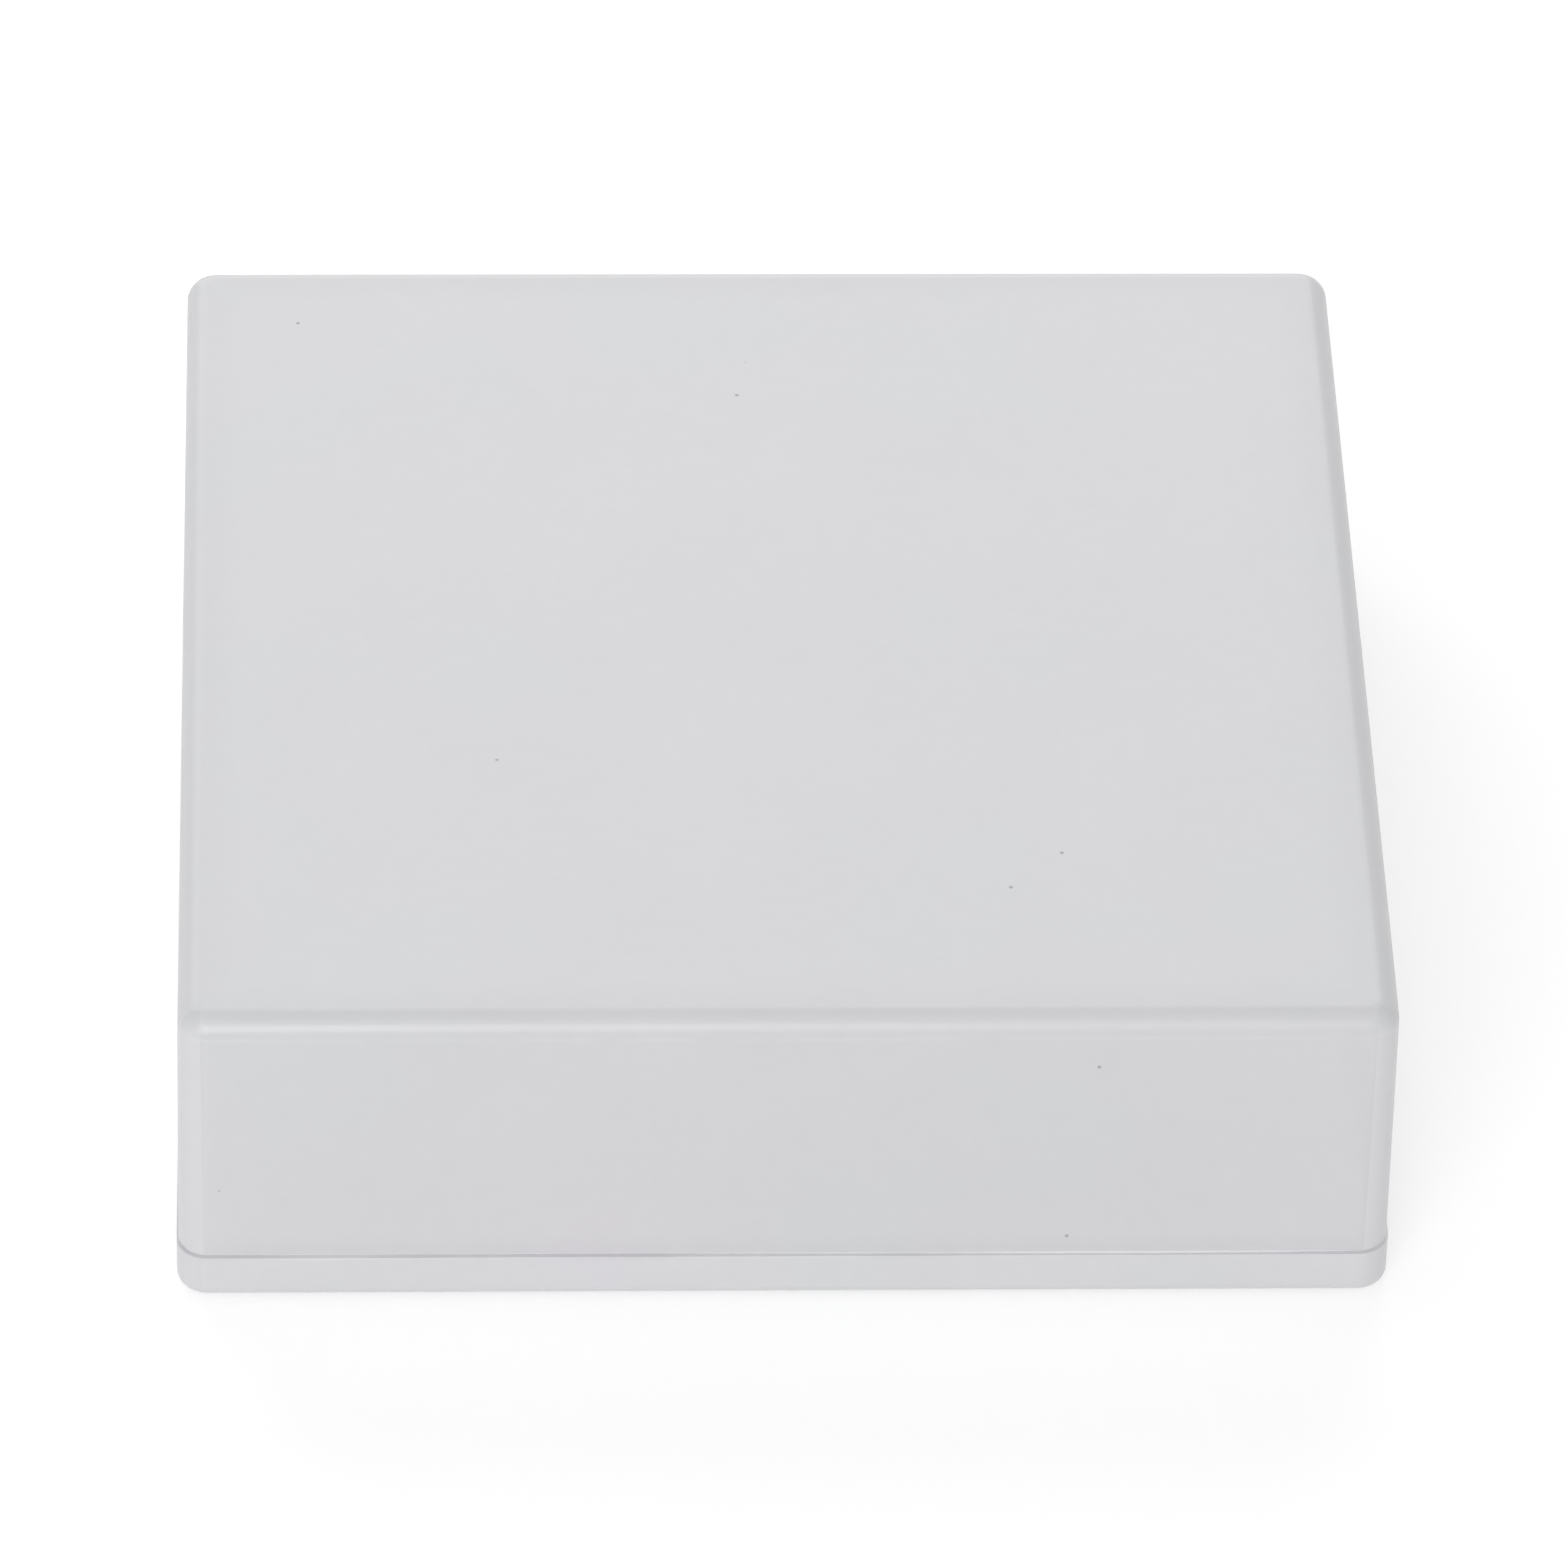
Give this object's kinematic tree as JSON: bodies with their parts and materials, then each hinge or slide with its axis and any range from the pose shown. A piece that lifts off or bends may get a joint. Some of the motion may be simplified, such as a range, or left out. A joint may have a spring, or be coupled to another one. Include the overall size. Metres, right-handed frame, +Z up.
{
  "type": "raised pavement marker",
  "caption": "Square milky-plastic raised pavement marker, wired and lit both ways: drafted hollow housing on a flush base plate, LED boards inside.",
  "frame": {"origin": "on the road face, under the middle of the marker", "axes": "+Z up from the road; X across the lane; -Y towards the traffic that sees the front LEDs"},
  "size_m": [0.1, 0.1, 0.03],
  "materials": {
    "milky_housing_plastic": "translucent, smooth satin moulding",
    "milky_base_plastic": "translucent, satin",
    "silicone": "soft, matt",
    "black_rubber": "matt",
    "stainless_steel": "bright, machined",
    "white_reflector": "matt white",
    "aluminium_sheet": "mill finish",
    "white_solder_mask": "white solder mask",
    "led_package": "clear dome on a white package",
    "header_plastic": "black moulding",
    "green_board": "green solder mask",
    "brass": "turned",
    "capacitor_sleeve": "drawn can",
    "varistor_coating": "dipped epoxy",
    "ferrite": "sintered",
    "black_epoxy": "moulded epoxy",
    "terminal_plastic": "green moulding",
    "plated_steel": "zinc plated"
  },
  "bodies": {
    "root": {"housing": "milky_housing_plastic", "base_plate": "milky_base_plastic", "housing_gasket": "silicone", "roof_pads": "silicone", "screw_seals": "black_rubber", "gland_seal": "black_rubber", "cable_seal": "black_rubber", "housing_screws": "stainless_steel", "spreader_screws": "stainless_steel", "led_board_screws": "stainless_steel", "board_screws": "stainless_steel", "reflector_plate": "white_reflector", "heat_spreader": "aluminium_sheet", "front_led_board": "white_solder_mask", "rear_led_board": "white_solder_mask", "front_leds": "led_package", "rear_leds": "led_package", "front_header": "header_plastic", "rear_header": "header_plastic", "driver_board": "green_board", "board_standoffs": "brass", "gland_body": "brass", "gland_locknut": "brass", "gland_cap": "brass", "filter_capacitors": "capacitor_sleeve", "surge_varistor": "varistor_coating", "driver_inductor": "ferrite", "bridge_rectifier": "black_epoxy", "driver_chip": "black_epoxy", "terminal_block": "terminal_plastic", "terminal_screws": "plated_steel"}
  },
  "joints": []
}
